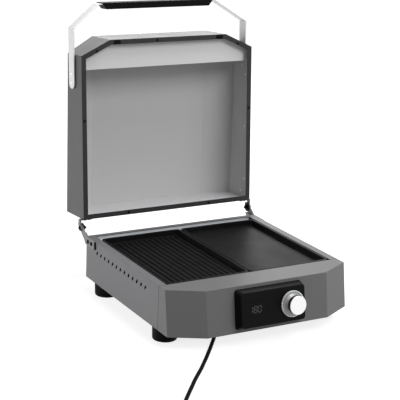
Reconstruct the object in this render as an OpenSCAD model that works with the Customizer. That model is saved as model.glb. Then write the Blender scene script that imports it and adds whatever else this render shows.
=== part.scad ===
// Electric indoor grill with a hinged lid, lid open at rest.
// Millimetres, +Z up, standing surface at z = 0, front towards -Y.

/* [Base] */
// Width of the base over its side walls
base_w = 500; // [440:1:560]
// Depth of the base at its top edge
base_d = 476; // [440:1:520]
// Height of the base's walls, without the feet
shell_h = 110; // [95:1:130]
// Thickness of the sheet steel
sheet = 1.5; // [1:0.1:2]
// Width of the flat rim on each side
rim_w = 20; // [14:1:24]
// Width of the flat rim at the rear
rear_rim = 14; // [10:1:18]
// Depth of the front fascia's flat top
fascia_d = 74; // [66:1:84]
// Width of each cut corner of the front
nose_x = 83; // [60:1:100]
// Depth of each cut corner of the front
nose_y = 44; // [30:1:55]
// How far the front leans out at its lower edge
front_lean = 18; // [6:1:24]
// Width of the open seam between the walls and the fascia
seam_w = 1; // [0.5:0.1:1.5]
// Clearance between parts that lie side by side
gap = 0.3; // [0.2:0.05:0.5]

/* [Side slots] */
// Number of air slots in each side wall
slot_count = 13; // [7:1:13]
// Spacing of the air slots
slot_pitch = 22.4; // [18:0.2:23]
// Length of an air slot
slot_l = 12.5; // [10:0.5:18]
// Width of an air slot
slot_w = 6; // [3:0.2:7]
// Lean of an air slot from upright
slot_lean = 36; // [20:1:45]
// Height of the slots above the base's lower edge
slot_z = 83; // [60:1:84]
// Distance of the rearmost slot from the rear wall
slot_rear = 65; // [60:1:75]

/* [Feet] */
// Height of a foot
foot_h = 34; // [30:1:45]
// Radius of a foot
foot_r = 31; // [22:1:32]
// Distance of a foot's centre from the side wall
foot_side = 32; // [32:1:45]
// Distance of the front feet's centres from the front's top edge
foot_front = 97; // [92:1:120]
// Distance of the rear feet's centres from the rear wall
foot_rear = 58; // [40:1:80]

/* [Cooking plates] */
// Gap between the two plates
plate_split = 3; // [2:0.5:6]
// Gap between a plate and the rim round it
plate_clear = 2; // [1.5:0.5:4]
// Depth of the light ledge behind the plates
ledge_d = 20; // [14:1:26]
// Depth from the base's top to a plate's underside
plate_h = 18; // [14:0.5:20]
// Thickness of a plate's floor
plate_floor = 5; // [4:0.5:7]
// Width of the raised border of a plate
border_w = 6; // [4:0.5:9]
// Spacing of the ribs on the ribbed plate
rib_pitch = 15; // [12:0.5:20]
// Height of a rib
rib_h = 4; // [2:0.5:6]
// Radius of the grease hole in a plate
drain_r = 6; // [4:0.5:9]
// Length of the finger slot in a plate's outer border
grip_slot = 90; // [60:1:120]

/* [Heating] */
// Radius of a heating element's tube
tube_r = 3.5; // [3:0.25:4.5]
// Spacing of the element's runs
run_pitch = 48; // [40:1:50]
// Depth of the elements below the base's top
tube_depth = 27; // [26:0.5:29]
// Depth of the pan's floor below the base's top
pan_depth = 46; // [42:1:52]

/* [Drip tray] */
// Width of the drip tray
tray_w = 190; // [140:1:240]
// Length of the drip tray inside the base
tray_l = 165; // [130:1:200]
// Height of the drip tray
tray_h = 26; // [18:1:30]

/* [Control panel] */
// Width of the panel where it meets the front
panel_w = 186; // [160:1:200]
// Height of the panel where it meets the front
panel_h = 96; // [84:1:98]
// Thickness of the panel's moulding
panel_wall = 2.5; // [1.5:0.25:3.5]
// How far the panel stands out
panel_d = 24; // [16:1:28]
// Taper of the panel on each side
panel_taper = 5.5; // [2:0.5:7]
// Radius of the panel's corners
panel_r = 8; // [6:1:16]
// Sideways distance of the knob from the middle
knob_x = 50.5; // [46:0.5:54]
// Radius of the knob's skirt
skirt_r = 32; // [26:0.5:34]
// Radius of the knob's cap
knob_r = 22.5; // [19:0.1:25]
// How far the knob stands out from the panel
knob_h = 28; // [22:1:32]
// Travel of the knob when it is pushed
push_travel = 1.5; // [1:0.1:2]
// Width of the display window
display_w = 74; // [60:1:80]
// Height of the display window
display_h = 40; // [30:1:50]

/* [Lid] */
// Thickness of the lid's sheet steel
lid_sheet = 1; // [0.8:0.1:1.5]
// Distance of the lid's sides inside the base's walls
lid_side = 0.5; // [0:0.25:2]
// Distance of the lid's front edge behind the base's front edge
lid_inset = 24; // [16:0.5:34]
// Overhang of the lid behind the base
lid_over = 6.5; // [4:0.5:8]
// Height of the lid's side walls at the front
lid_front_h = 83; // [70:1:95]
// Height of the lid's side walls at the rear
lid_rear_h = 108; // [96:1:125]
// Rise of the sloping facets above the side walls
facet_h = 26; // [16:1:36]
// Width of the sloping facets
facet_x = 81; // [60:1:100]
// Width of the cut front corners of the lid
lid_nose_x = 80; // [60:1:95]
// Depth of the cut front corners of the lid
lid_nose_y = 37; // [26:1:46]
// Width of the dark frame round the lid's mouth
frame_w = 12.5; // [10:0.5:16]
// Height of the rubber bumpers between lid and base
bumper_h = 3; // [2:0.25:5]
// Reach of the baffle behind the lid's front
baffle_l = 75; // [50:1:90]
// Height of the baffle above the lid's mouth
baffle_z = 17; // [8:1:30]

/* [Hinge] */
// Distance of the pivot behind the lid's rear wall
pivot_back = 22.5; // [20:0.5:26]
// Height of the pivot above the base's top
pivot_up = 13.5; // [13:0.5:20]
// Radius of the hinge bolt
bolt_r = 3; // [2.5:0.25:4]
// Radius of the hinge eyes, half the width of their plates
eye_r = 8.5; // [7:0.25:9]
// Thickness of the hinge plates
arm_t = 3; // [2:0.5:4]
// Opening angle of the lid
open_a = 94; // [85:1:98]

/* [Handle] */
// Width of the handle's flat bar
bar_w = 32; // [24:1:36]
// Thickness of the handle's flat bar
bar_t = 3; // [2:0.5:4]
// Height of the bar's middle above the lid's mouth
bar_z = 52; // [44:1:64]
// Distance of the bar from the lid's side, on collars
bar_off = 2; // [1:0.5:4]
// Length of the bar along the lid's side, from the lid's front
bar_run = 125; // [100:1:160]
// Reach of the bar's side in front of the lid
bar_front = 28.5; // [15:0.5:40]
// Reach of the grip in front of the bar's bend
grip_reach = 58; // [45:1:70]
// Rise of the grip above the bar's sides
grip_rise = 24; // [10:1:30]
// Half the width between the grip's bends
grip_half = 172; // [150:1:190]

/* [Cord] */
// Diameter of the mains cord
cord_d = 9; // [7:0.5:10]

/* [Hidden] */
$fn = 48;

// Places along Y and Z that every piece shares
front_y = -286.512;
rear_y = front_y + base_d;
seam_y = front_y + fascia_d;
zb = foot_h;
zt = foot_h + shell_h;
half_w = base_w / 2;

// Sloping front plane
lean_a = atan(front_lean / shell_h);
front_len = shell_h / cos(lean_a);
panel_mid = front_len / 2;

// Encoder behind the panel
shaft_r = 3;
shaft_hole_r = 4.5;
boss_h = 8;
board_top = 2.6;
encoder_h = panel_d - boss_h - board_top;
cap_z = panel_d + knob_h - 12;

// Cooking space
well_x = half_w - rim_w;
pan_x = well_x + 0.5;
pan_y0 = seam_y - 0.5;
pan_y1 = rear_y - rear_rim + 0.5;
plate_y0 = seam_y + plate_clear + 1;
plate_y1 = pan_y1 - ledge_d - plate_clear - sheet;
step_z = zt - plate_h;
step_w = 8;
floor_z = zt - pan_depth;
element_z = zt - tube_depth;
drain_x = 18;
drain_y = plate_y1 - 18;
run_y0 = plate_y0 + 50;
run_y1 = plate_y1 - 50;
run_x0 = 40;
clip_ys = [for (k = [0.3, 0.66]) plate_y0 + k * (plate_y1 - plate_y0)];
rivet_ys = [for (k = [0.25, 0.67]) pan_y0 + k * (pan_y1 - pan_y0)];
probe_r = 2.45;

// Lid in its closed place: mouth plane, front, rear, pivot
mouth_z = zt + bumper_h;
lid_y1 = rear_y + lid_over;
lid_y0 = front_y + lid_inset;
lid_l = lid_y1 - lid_y0;
lid_half = half_w - lid_side;
pivot_y = lid_y1 + pivot_back;
pivot_z = zt + pivot_up;
facet_a = atan(facet_h / facet_x);
liner_in = lid_sheet + gap;
liner_t = 0.8;
screw_r = 2.5;

// Hinge stack: nut and washer inside the arm, arm on the side wall, leaf and bolt head outside
run_clear = 0.05;
play = 0.15;
arm_x0 = half_w;
arm_x1 = arm_x0 + arm_t;
leaf_x0 = arm_x1 + play;
leaf_x1 = leaf_x0 + arm_t;
washer_r = 12;
washer_t = 2.5;
nut_r = 6;
nut_h = 4.5;
nut_x = arm_x0 - washer_t - nut_h;
arm_h = 22;
arm_len = 52;
arm_mid = zt - arm_h / 2;
knee_y = rear_y - 4;
arm_screw_ys = [rear_y - 15, rear_y - 35];
leaf_w = 30;
leaf_low = 3.3;
leaf_screw_xs = [leaf_x0 - 13, leaf_x0 - 24];
flange_w = 10;
stop_r = 2;
stop_back = 8;
stop_z = pivot_z + eye_r + gap + stop_r;

// Handle
bar_in = lid_half + bar_off;
bar_out = bar_in + bar_t;
bar_y1 = lid_y0 + bar_run;
bar_y0 = lid_y0 - bar_front;
grip_y = bar_y0 - grip_reach;
grip_z = mouth_z + bar_z + grip_rise;
bar_screw_ys = [bar_y1 - 16, bar_y1 - 39];

// Cord route: from the strain relief, down to the surface and out to the coil
cord_r = cord_d / 2;
lead_points = [[0, -97, 23], [-13, -113, 23], [-32, -137, 20], [-51, -161, 15], [-71, -186, 10],
    [-91, -212, 6.5], [-112, -241, 4.6], [-131, -265, 4.6], [-150, -290, 4.6], [-170, -315, 4.6],
    [-190, -340, 4.6], [-210, -364, 4.6], [-230, -388, 4.6], [-248, -408, 4.6], [-265, -427, 4.6],
    [-279, -443, 4.6], [-291, -458, 4.6], [-302, -471, 4.6], [-312, -483, 4.6], [-326, -500, 4.6],
    [-339, -516, 4.6], [-351, -532, 4.6], [-362, -548, 4.6], [-371.5, -563, 4.6], [-379, -576, 4.6],
    [-386.5, -589, 4.6]];
lead_sides = 10;
coil_mid_r = 54;
coil_layer_turns = 1.375;
coil_pitch = 9.6;
coil_rise = 9.6;
coil_start_a = 150;
coil_steps = 24;
coil_sides = 6;
coil_turns = 2 * coil_layer_turns + 0.5;
coil_z = 4.6;
tail_l = 60;
plug_r = 18;

// Helpers

module block(a, b) {
    translate(a) cube([b[0] - a[0], b[1] - a[1], b[2] - a[2]]);
}

module mirrored() {
    children();
    mirror([1, 0, 0]) children();
}

// Local x is across, y is up the sloping front, z is out of it
module on_front() {
    translate([0, front_y - front_lean, zb]) rotate([90 - lean_a, 0, 0]) children();
}

// Turns what is drawn closed to the open place
module opened() {
    translate([0, pivot_y, pivot_z]) rotate([-open_a, 0, 0]) translate([0, -pivot_y, -pivot_z])
        children();
}

// Cylinder along X from x = a to x = b
module rod_x(a, b, r, y, z) {
    translate([a, y, z]) rotate([0, 90, 0]) cylinder(r = r, h = b - a);
}

// Domed screw or rivet head that stands on z = 0
module dome(r, h) {
    rotate_extrude($fn = 24) polygon([[0, 0], [r, 0], [r, h * 0.4], [r * 0.7, h * 0.85], [0, h]]);
}

module rounded_slab(w, l, h, r) {
    linear_extrude(h) offset(r = r, $fn = 32) square([w - 2 * r, l - 2 * r], center = true);
}

// Plan outline with two cut front corners, moved inwards by g
function nose_n(cx, cy) = [cy, cx] / norm([cx, cy]);
function nosed(hw, y0, y1, cx, cy, g) =
    let (n = nose_n(cx, cy), a = y0 + cy + g * (1 - n[0]) / n[1], b = hw - cx - g * (1 - n[1]) / n[0])
    [[hw - g, y1], [hw - g, a], [b, y0 + g], [-b, y0 + g], [-hw + g, a], [-hw + g, y1]];

// Sheet metal base

module slot_row() {
    for (i = [0 : slot_count - 1])
        translate([0, rear_y - slot_rear - i * slot_pitch, zb + slot_z]) rotate([slot_lean, 0, 0])
            rotate([0, 90, 0]) linear_extrude(base_w + 10, center = true)
                offset(r = slot_w / 2 - 0.2, $fn = 16) square([slot_l - slot_w, 0.4], center = true);
}

module base_shell() {
    tray_top = zb + sheet + tray_h + 5;
    lap = 12;
    // Strips that carry the fascia's sides across the seam
    color("#6f7072") mirrored() block([half_w - 2 * sheet, seam_y - lap, zb + 2 * sheet],
        [half_w - sheet, seam_y + seam_w + lap, zt - 3 * sheet]);
    color("#6f7072") difference() {
        block([-half_w, seam_y + seam_w, zb], [half_w, rear_y, zt]);
        // Inside of the walls, below the rim
        block([-half_w + sheet, seam_y - 1, zb - 1], [half_w - sheet, rear_y - sheet, zt - sheet]);
        // Cooking opening through the rim
        block([-well_x, seam_y - 1, zt - 5], [well_x, rear_y - rear_rim, zt + 1]);
        // Side air slots
        slot_row();
        // Drip tray opening
        block([-tray_w / 2 - 3, rear_y - 5, zb + sheet + 1], [tray_w / 2 + 3, rear_y + 1, tray_top]);
        // Rear air slots
        for (s = [-1, 1], i = [0 : 5])
            block([s * 180 - 30, rear_y - 5, zb + 22 + i * 9], [s * 180 + 30, rear_y + 1, zb + 26 + i * 9]);
        // Arm screw holes
        for (y = arm_screw_ys) rod_x(-half_w - 1, half_w + 1, screw_r + run_clear, y, arm_mid);
    }
}

// Solid of the front, moved inwards by g, from height low up to the flat top
module fascia_form(g, low) {
    y = front_y - front_lean * (zt - low) / shell_h;
    hull() {
        translate([0, 0, zt - g - 0.01]) linear_extrude(0.01)
            polygon(nosed(half_w, front_y, seam_y + g, nose_x, nose_y, g));
        translate([0, 0, low]) linear_extrude(0.01) polygon(nosed(half_w, y, seam_y + g, nose_x, nose_y, g));
    }
}

module front_fascia() {
    cut_w = panel_w - 40;
    cut_h = panel_h - 36;
    color("#6a6a6b") difference() {
        fascia_form(0, zb);
        fascia_form(sheet, zb - 5);
        on_front() translate([-cut_w / 2, panel_mid - cut_h / 2, -8]) cube([cut_w, cut_h, 16]);
    }
}

module bottom_cover() {
    g = sheet + gap;
    color("#4a4b4c") difference() {
        translate([0, 0, zb]) linear_extrude(sheet)
            polygon(nosed(half_w, front_y - front_lean + gap, rear_y - g, nose_x, nose_y, g));
        // Air slots under the pan
        for (i = [-3 : 3], j = [0 : 1])
            block([i * 44 - 2.5, front_y + 150 + j * 70, zb - 1], [i * 44 + 2.5, front_y + 200 + j * 70, zb + 5]);
        for (p = foot_places()) translate([p[0], p[1], zb - 1]) cylinder(r = screw_r + run_clear, h = 5);
    }
}

function foot_places() =
    [for (s = [-1, 1], y = [front_y + foot_front, rear_y - foot_rear]) [s * (half_w - foot_side), y]];

module feet() {
    round_r = 4;
    recess_r = 9;
    color("#141414") for (p = foot_places()) translate([p[0], p[1], 0]) rotate_extrude($fn = 64)
        polygon(concat(
            [[recess_r, 0]],
            [for (a = [0 : 22.5 : 90])
                [foot_r - 1 - round_r + round_r * sin(a), round_r - round_r * cos(a)]],
            [[foot_r, foot_h], [screw_r + run_clear, foot_h], [screw_r + run_clear, 8], [recess_r, 8]]));
}

module foot_screws() {
    color("#8d9093") for (p = foot_places()) translate([p[0], p[1], 4.5]) {
        difference() {
            cylinder(r = 5, h = 3.5);
            translate([-4, -0.6, -1]) cube([8, 1.2, 2.2]);
        }
        translate([0, 0, 3.5]) cylinder(r = screw_r, h = foot_h - 8 + sheet + 3);
    }
}

// Pan, elements and plates

module element_pan() {
    deep_x = pan_x - step_w;
    deep_y0 = pan_y0 + step_w;
    deep_y1 = plate_y1 + plate_clear - step_w;
    back_y = plate_y1 + plate_clear;
    ledge_z = zt - 7;
    flange = 6;
    color("#a9abac") difference() {
        union() {
            // Flange under the rim
            block([-pan_x - flange, pan_y0 - flange, zt - 2 * sheet],
                [pan_x + flange, pan_y1 + flange, zt - sheet]);
            block([-pan_x - sheet, pan_y0 - sheet, step_z - sheet], [pan_x + sheet, back_y + sheet, zt - sheet]);
            block([-pan_x - sheet, pan_y0, ledge_z - sheet], [pan_x + sheet, pan_y1 + sheet, zt - sheet]);
            block([-deep_x - sheet, deep_y0 - sheet, floor_z - sheet],
                [deep_x + sheet, deep_y1 + sheet, step_z]);
        }
        block([-pan_x, pan_y0, step_z], [pan_x, back_y, zt]);
        block([-pan_x, pan_y0, ledge_z], [pan_x, pan_y1, zt]);
        block([-deep_x, deep_y0, floor_z], [deep_x, deep_y1, zt]);
        // Grease holes above the tray
        for (s = [-1, 1]) translate([s * drain_x, deep_y1 - 12, floor_z - 5])
            cylinder(r = drain_r, h = 10);
        // Holes for the element ends and the probe
        for (s = [-1, 1], x = [run_x0, run_x0 + 3 * run_pitch])
            translate([s * x, deep_y0 - 10, element_z]) rotate([-90, 0, 0])
                cylinder(r = tube_r + run_clear, h = 20);
        translate([0, deep_y0 - 10, element_z]) rotate([-90, 0, 0])
            cylinder(r = probe_r + run_clear, h = 20);
    }
}

module centre_rail() {
    w = 12;
    y0 = pan_y0 + step_w + 60;
    y1 = plate_y1 - 60;
    color("#9a9c9d") difference() {
        block([-w / 2, y0, floor_z], [w / 2, y1, step_z]);
        block([-w / 2 + 1.2, y0 - 1, floor_z - 1], [w / 2 - 1.2, y1 + 1, step_z - 1.2]);
    }
}

// Bright rivets on the ledge and on the sides of the well
module pan_rivets() {
    color("#d8d8d8") {
        for (s = [-1, 1]) translate([s * (well_x - 8), pan_y1 - ledge_d / 2 - 2, zt - 7]) dome(3, 1.6);
        for (s = [-1, 1], y = rivet_ys)
            translate([s * pan_x, y, zt - 5]) rotate([0, -s * 90, 0]) dome(2.2, 1.2);
    }
}

// Four runs joined by three bends, both ends towards the front
module element() {
    end_y = pan_y0 - 14;
    r = run_pitch / 2;
    for (i = [0 : 3]) {
        outer = i == 0 || i == 3;
        translate([run_x0 + i * run_pitch, outer ? end_y : run_y0, element_z]) rotate([-90, 0, 0])
            cylinder(r = tube_r, h = run_y1 - (outer ? end_y : run_y0));
    }
    for (i = [0, 2]) translate([run_x0 + (i + 0.5) * run_pitch, run_y1, element_z])
        rotate_extrude(angle = 180) translate([r, 0]) circle(r = tube_r);
    translate([run_x0 + 1.5 * run_pitch, run_y0, element_z])
        rotate([0, 0, 180]) rotate_extrude(angle = 180) translate([r, 0]) circle(r = tube_r);
}

module heating_element_left() {
    color("#3d3a38") mirror([1, 0, 0]) element();
}

module heating_element_right() {
    color("#3d3a38") element();
}

// Strips that stand on the pan's floor and carry the runs
module element_clips() {
    top_z = element_z + tube_r + 2;
    color("#8f9192") for (s = [-1, 1], y = clip_ys) difference() {
        translate([s * (run_x0 + 1.5 * run_pitch), y, (floor_z + top_z) / 2])
            cube([3 * run_pitch + 16, 2, top_z - floor_z], center = true);
        for (i = [0 : 3]) translate([s * (run_x0 + i * run_pitch), y - 5, element_z]) rotate([-90, 0, 0])
            cylinder(r = tube_r + run_clear, h = 10);
        for (i = [0 : 2]) translate([s * (run_x0 + (i + 0.5) * run_pitch), y, floor_z + 6])
            cube([run_pitch - 18, 5, 30], center = true);
    }
}

// Ceramic ends with threaded studs on the element's cold ends
module element_terminals() {
    y = pan_y0 - 14;
    color("#e4ddd0") for (s = [-1, 1], x = [run_x0, run_x0 + 3 * run_pitch])
        translate([s * x, y, element_z]) rotate([90, 0, 0]) {
            cylinder(r = 5.5, h = 6);
            translate([0, 0, 6]) cylinder(r = 2, h = 9);
        }
}

module temperature_probe() {
    collar = 4;
    color("#b9babb") translate([0, pan_y0 + step_w - sheet - collar, element_z]) rotate([-90, 0, 0]) {
        translate([0, 0, -12]) cylinder(r = probe_r, h = 66);
        cylinder(r = 5, h = collar);
    }
}

// Cast plate: border, floor, grease channel and grease hole
module plate_form() {
    x0 = plate_split / 2;
    x1 = well_x - plate_clear;
    w = x1 - x0;
    l = plate_y1 - plate_y0;
    mid = [(x0 + x1) / 2, (plate_y0 + plate_y1) / 2];
    top = step_z + plate_floor;
    difference() {
        translate([mid[0], mid[1], step_z]) rounded_slab(w, l, plate_h, 12);
        translate([mid[0], mid[1], top]) rounded_slab(w - 2 * border_w, l - 2 * border_w, plate_h, 8);
        // Channel along the border
        translate([mid[0], mid[1], top - 2]) difference() {
            rounded_slab(w - 2 * border_w - 4, l - 2 * border_w - 4, 5, 8);
            translate([0, 0, -1]) rounded_slab(w - 2 * border_w - 22, l - 2 * border_w - 22, 8, 8);
        }
        translate([drain_x, drain_y, step_z - 1]) cylinder(r = drain_r, h = plate_h);
        // Finger slot near the outer border
        translate([x1 - border_w - 7, mid[1], step_z - 1]) for (s = [-1, 1]) {
            translate([0, s * (grip_slot / 2 - 3), 0]) cylinder(r = 3, h = plate_h);
            translate([-3, -grip_slot / 2 + 3, 0]) cube([6, grip_slot - 6, plate_h]);
        }
    }
}

module plate_left() {
    x0 = plate_split / 2 + border_w + 16;
    x1 = well_x - plate_clear - border_w - 18;
    count = floor((x1 - x0) / rib_pitch);
    rib_w = 5;
    rib_l = plate_y1 - plate_y0 - 2 * border_w - 34;
    color("#1c1c1d") mirror([1, 0, 0]) union() {
        plate_form();
        for (i = [0 : count]) translate([x0 + (x1 - x0) * i / count, plate_y0 + border_w + 17,
                step_z + plate_floor - 0.5])
            translate([0, rib_l, 0]) rotate([90, 0, 0]) linear_extrude(rib_l)
                polygon([[-rib_w / 2, 0], [rib_w / 2, 0], [rib_w / 3, rib_h], [-rib_w / 3, rib_h]]);
    }
}

module plate_right() {
    color("#1c1c1d") plate_form();
}

// Drip tray on its rails, pulled out at the rear

module tray_rails() {
    x = tray_w / 2 + gap;
    z = zb + sheet;
    color("#8f9192") mirrored() {
        block([x, rear_y - tray_l, z], [x + 1.5, rear_y - 8, z + tray_h * 0.6]);
        block([x - 8, rear_y - tray_l, z], [x, rear_y - 8, z + 1.5]);
    }
}

module drip_tray() {
    t = 1.2;
    x = tray_w / 2;
    z = zb + sheet + 1.5 + gap;
    y1 = rear_y - sheet;
    lip = 9;
    color("#9b9d9f") difference() {
        union() {
            block([-x, rear_y - tray_l, z], [x, y1, z + tray_h - 4]);
            // Face plate and pull lip
            block([-x - 6, rear_y + gap, z - 1], [x + 6, rear_y + gap + 2, z + tray_h + 2]);
            block([-x, y1 - 1, z], [x, rear_y + gap + 1, z + tray_h - 4]);
            block([-40, rear_y + gap, z + tray_h], [40, rear_y + gap + lip, z + tray_h + 2]);
        }
        block([-x + t, rear_y - tray_l + t, z + t], [x - t, y1 - t, z + tray_h]);
    }
}

// Electronics inside the front

module power_board() {
    place = [100 - half_w, front_y + 34, zb + sheet];
    color("#2f5d3a") translate(place) {
        for (s = [-1, 1], j = [-1, 1]) translate([s * 32, j * 14, 0]) cylinder(r = 3, h = 8);
        block([-40, -22, 8], [40, 22, 9.6]);
    }
    color("#22282c") translate(place) {
        block([-36, -16, 9.6], [-12, 2, 26]);
        block([-8, -16, 9.6], [16, 2, 26]);
        translate([30, 8, 9.6]) cylinder(r = 6, h = 18);
    }
}

module terminal_block() {
    z = zb + sheet;
    y = front_y + 36;
    color("#e9e6df") difference() {
        block([-30, y - 10, z], [30, y + 10, z + 18]);
        for (i = [-2 : 2]) translate([i * 11, y, z + 8]) cylinder(r = 3, h = 12);
    }
}

// Control panel

module panel_form(g) {
    inset = panel_taper * 2 + 2 * g;
    hull() {
        rounded_slab(panel_w - 2 * g, panel_h - 2 * g, 0.1, panel_r - g);
        translate([0, 0, panel_d - g - 1]) rounded_slab(panel_w - inset, panel_h - inset, 0.1, panel_r - g);
        translate([0, 0, panel_d - g - 0.1])
            rounded_slab(panel_w - inset - 1.6, panel_h - inset - 1.6, 0.1, panel_r - g - 0.8);
    }
}

module control_panel() {
    color("#171718") on_front() translate([0, panel_mid, 0]) difference() {
        panel_form(0);
        difference() {
            panel_form(panel_wall);
            // Boss that carries the encoder
            translate([knob_x, 0, panel_d - boss_h]) cylinder(r = 14, h = boss_h + 2);
        }
        // Open back
        translate([0, 0, -1]) rounded_slab(panel_w - 2 * panel_wall, panel_h - 2 * panel_wall, 2, panel_r - panel_wall);
        translate([knob_x, 0, panel_d - 10]) cylinder(r = shaft_hole_r, h = 20);
        // Rebate for the window
        translate([-knob_x, 0, panel_d - 1.2]) rounded_slab(display_w + 0.6, display_h + 0.6, 5, 5);
        translate([-knob_x, 0, panel_d - 10]) rounded_slab(display_w - 10, display_h - 10, 20, 3);
    }
}

module display_window() {
    color("#0c0d10") on_front() translate([-knob_x, panel_mid, panel_d - 1.2])
        rounded_slab(display_w, display_h, 1.2, 4.7);
}

module control_board() {
    color("#2f5d3a") on_front() translate([0, panel_mid, 0]) {
        difference() {
            translate([-70, -24, board_top - 1.6]) cube([140, 48, 1.6]);
            translate([knob_x, 0, 0]) cylinder(r = 4, h = 5);
        }
        for (s = [-1, 1], j = [-1, 1]) translate([s * 66, j * 20, board_top])
            cylinder(r = 2.5, h = panel_d - panel_wall - board_top);
        // Display module behind the window
        translate([-knob_x - 26, -12, board_top])
            cube([52, 24, panel_d - panel_wall - board_top - gap]);
    }
}

module encoder_body() {
    color("#53575a") on_front() translate([knob_x, panel_mid, board_top]) difference() {
        union() {
            translate([-7, -7, 0]) cube([14, 14, encoder_h]);
            cylinder(r = shaft_hole_r - run_clear, h = encoder_h + 5);
        }
        translate([0, 0, -1]) cylinder(r = shaft_r + run_clear, h = 40);
    }
}

module encoder_plunger() {
    color("#c9c9c9") on_front() translate([knob_x, panel_mid, board_top + push_travel + gap])
        cylinder(r = shaft_r - 0.1, h = 2);
}

module knob_shaft() {
    z0 = board_top + push_travel + gap + 2 + 0.1;
    color("#b5b6b7") on_front() translate([knob_x, panel_mid, z0])
        cylinder(r = shaft_r, h = cap_z - 2 - z0);
}

// Skirt with scored edge, grooved face and a cone up to the cap
module knob() {
    z0 = panel_d + push_travel + gap;
    notches = 60;
    color("#c9cacb") on_front() translate([knob_x, panel_mid, 0]) difference() {
        rotate_extrude($fn = 96) polygon([[shaft_r, z0], [skirt_r - 0.6, z0], [skirt_r, z0 + 0.6],
            [skirt_r, z0 + 2.6], [skirt_r - 0.8, z0 + 3.4], [skirt_r - 3, z0 + 3.4],
            [skirt_r - 3.3, z0 + 2.8], [skirt_r - 3.9, z0 + 2.8], [skirt_r - 4.2, z0 + 3.6],
            [knob_r + 3.2, z0 + 4], [knob_r + 2.2, z0 + 5], [knob_r - 0.8, cap_z], [shaft_r, cap_z]]);
        for (i = [0 : notches - 1]) rotate([0, 0, i * 360 / notches])
            translate([skirt_r + 0.2, 0, z0 + 1.2]) cylinder(r = 0.8, h = 4, $fn = 12);
    }
}

module knob_cap() {
    top = panel_d + knob_h;
    color("#e8e8e8") on_front() translate([knob_x, panel_mid, 0]) rotate_extrude($fn = 96)
        polygon([[0, cap_z], [knob_r - 0.6, cap_z], [knob_r, cap_z + 0.6], [knob_r, top - 1],
            [knob_r - 1, top], [0, top]]);
}

// Hinge

// Side view of the arm: foot, rising bar with the eye, ear for the stop pin
module arm_outline() {
    hull() {
        translate([rear_y - arm_len, zt - arm_h]) square([1, arm_h]);
        translate([knee_y, arm_mid]) circle(r = arm_h / 2, $fn = 32);
    }
    hull() {
        translate([knee_y, arm_mid]) circle(r = eye_r, $fn = 32);
        translate([pivot_y, pivot_z]) circle(r = eye_r, $fn = 32);
    }
    translate([pivot_y, pivot_z]) rotate(-open_a) hull() {
        circle(r = eye_r - 1, $fn = 32);
        translate([-stop_back, stop_z - pivot_z]) circle(r = stop_r + 1.5, $fn = 32);
    }
}

// Plate on the side wall that rises to the pivot, with an inward flange along its lower edge
// and the pin that stops the open lid
module hinge_arm() {
    rise_a = atan2(arm_mid - pivot_z, knee_y - pivot_y);
    color("#77787a") difference() {
        union() {
            translate([arm_x0, 0, 0]) rotate([90, 0, 90]) linear_extrude(arm_t) arm_outline();
            translate([arm_x0 - flange_w, pivot_y, pivot_z]) rotate([90, 0, 90])
                linear_extrude(flange_w + 1) rotate(rise_a)
                    translate([washer_r + 1, eye_r - 0.4 - arm_t]) square([26, arm_t]);
            opened() rod_x(arm_x1, leaf_x1, stop_r, pivot_y - stop_back, stop_z);
        }
        rod_x(arm_x0 - 1, arm_x1 + 1, bolt_r + run_clear, pivot_y, pivot_z);
        for (y = arm_screw_ys) rod_x(arm_x0 - 1, arm_x1 + 1, screw_r + run_clear, y, arm_mid);
    }
}

module hinge_arm_left() {
    mirror([1, 0, 0]) hinge_arm();
}

module hinge_arm_right() {
    hinge_arm();
}

module arm_screws() {
    color("#101010") mirrored() for (y = arm_screw_ys) {
        rod_x(half_w - sheet - 4, arm_x1, screw_r, y, arm_mid);
        translate([arm_x1, y, arm_mid]) rotate([0, 90, 0]) dome(4.5, 2.4);
    }
}

module hinge_bolts() {
    color("#121212") mirrored() {
        rod_x(nut_x - 4, leaf_x1 + play, bolt_r, pivot_y, pivot_z);
        translate([leaf_x1 + play, pivot_y, pivot_z]) rotate([0, 90, 0]) dome(6, 3.2);
    }
}

module hinge_washers() {
    color("#101010") mirrored() difference() {
        rod_x(arm_x0 - washer_t, arm_x0, washer_r, pivot_y, pivot_z);
        rod_x(arm_x0 - washer_t - 1, arm_x0 + 1, bolt_r + run_clear, pivot_y, pivot_z);
    }
}

module hinge_nuts() {
    color("#202020") mirrored() difference() {
        translate([nut_x, pivot_y, pivot_z]) rotate([0, 90, 0]) cylinder(r = nut_r, h = nut_h, $fn = 6);
        rod_x(nut_x - 1, nut_x + nut_h + 1, bolt_r + run_clear, pivot_y, pivot_z);
    }
}

// Angle that carries the lid: one leg turns on the bolt, the other lies on the lid's rear wall
module lid_leaf() {
    color("#77787a") opened() difference() {
        union() {
            rod_x(leaf_x0, leaf_x1, eye_r, pivot_y, pivot_z);
            block([leaf_x0, lid_y1, pivot_z - leaf_low], [leaf_x1, pivot_y, pivot_z + eye_r]);
            block([leaf_x1 - leaf_w - arm_t, lid_y1, pivot_z - leaf_low],
                [leaf_x1, lid_y1 + arm_t, pivot_z + eye_r]);
        }
        rod_x(leaf_x0 - 1, leaf_x1 + 1, bolt_r + run_clear, pivot_y, pivot_z);
        for (x = leaf_screw_xs) translate([x, lid_y1 - 1, pivot_z + 2]) rotate([-90, 0, 0])
            cylinder(r = screw_r + run_clear, h = arm_t + 2);
    }
}

module lid_leaf_left() {
    mirror([1, 0, 0]) lid_leaf();
}

module lid_leaf_right() {
    lid_leaf();
}

module leaf_screws() {
    color("#101010") opened() mirrored() for (x = leaf_screw_xs)
        translate([x, lid_y1, pivot_z + 2]) rotate([-90, 0, 0]) {
            cylinder(r = screw_r, h = arm_t);
            translate([0, 0, arm_t]) dome(4, 2);
        }
}

// Lid

function side_h(y) = lid_front_h + (lid_rear_h - lid_front_h) * (y - lid_y0) / lid_l;

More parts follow.
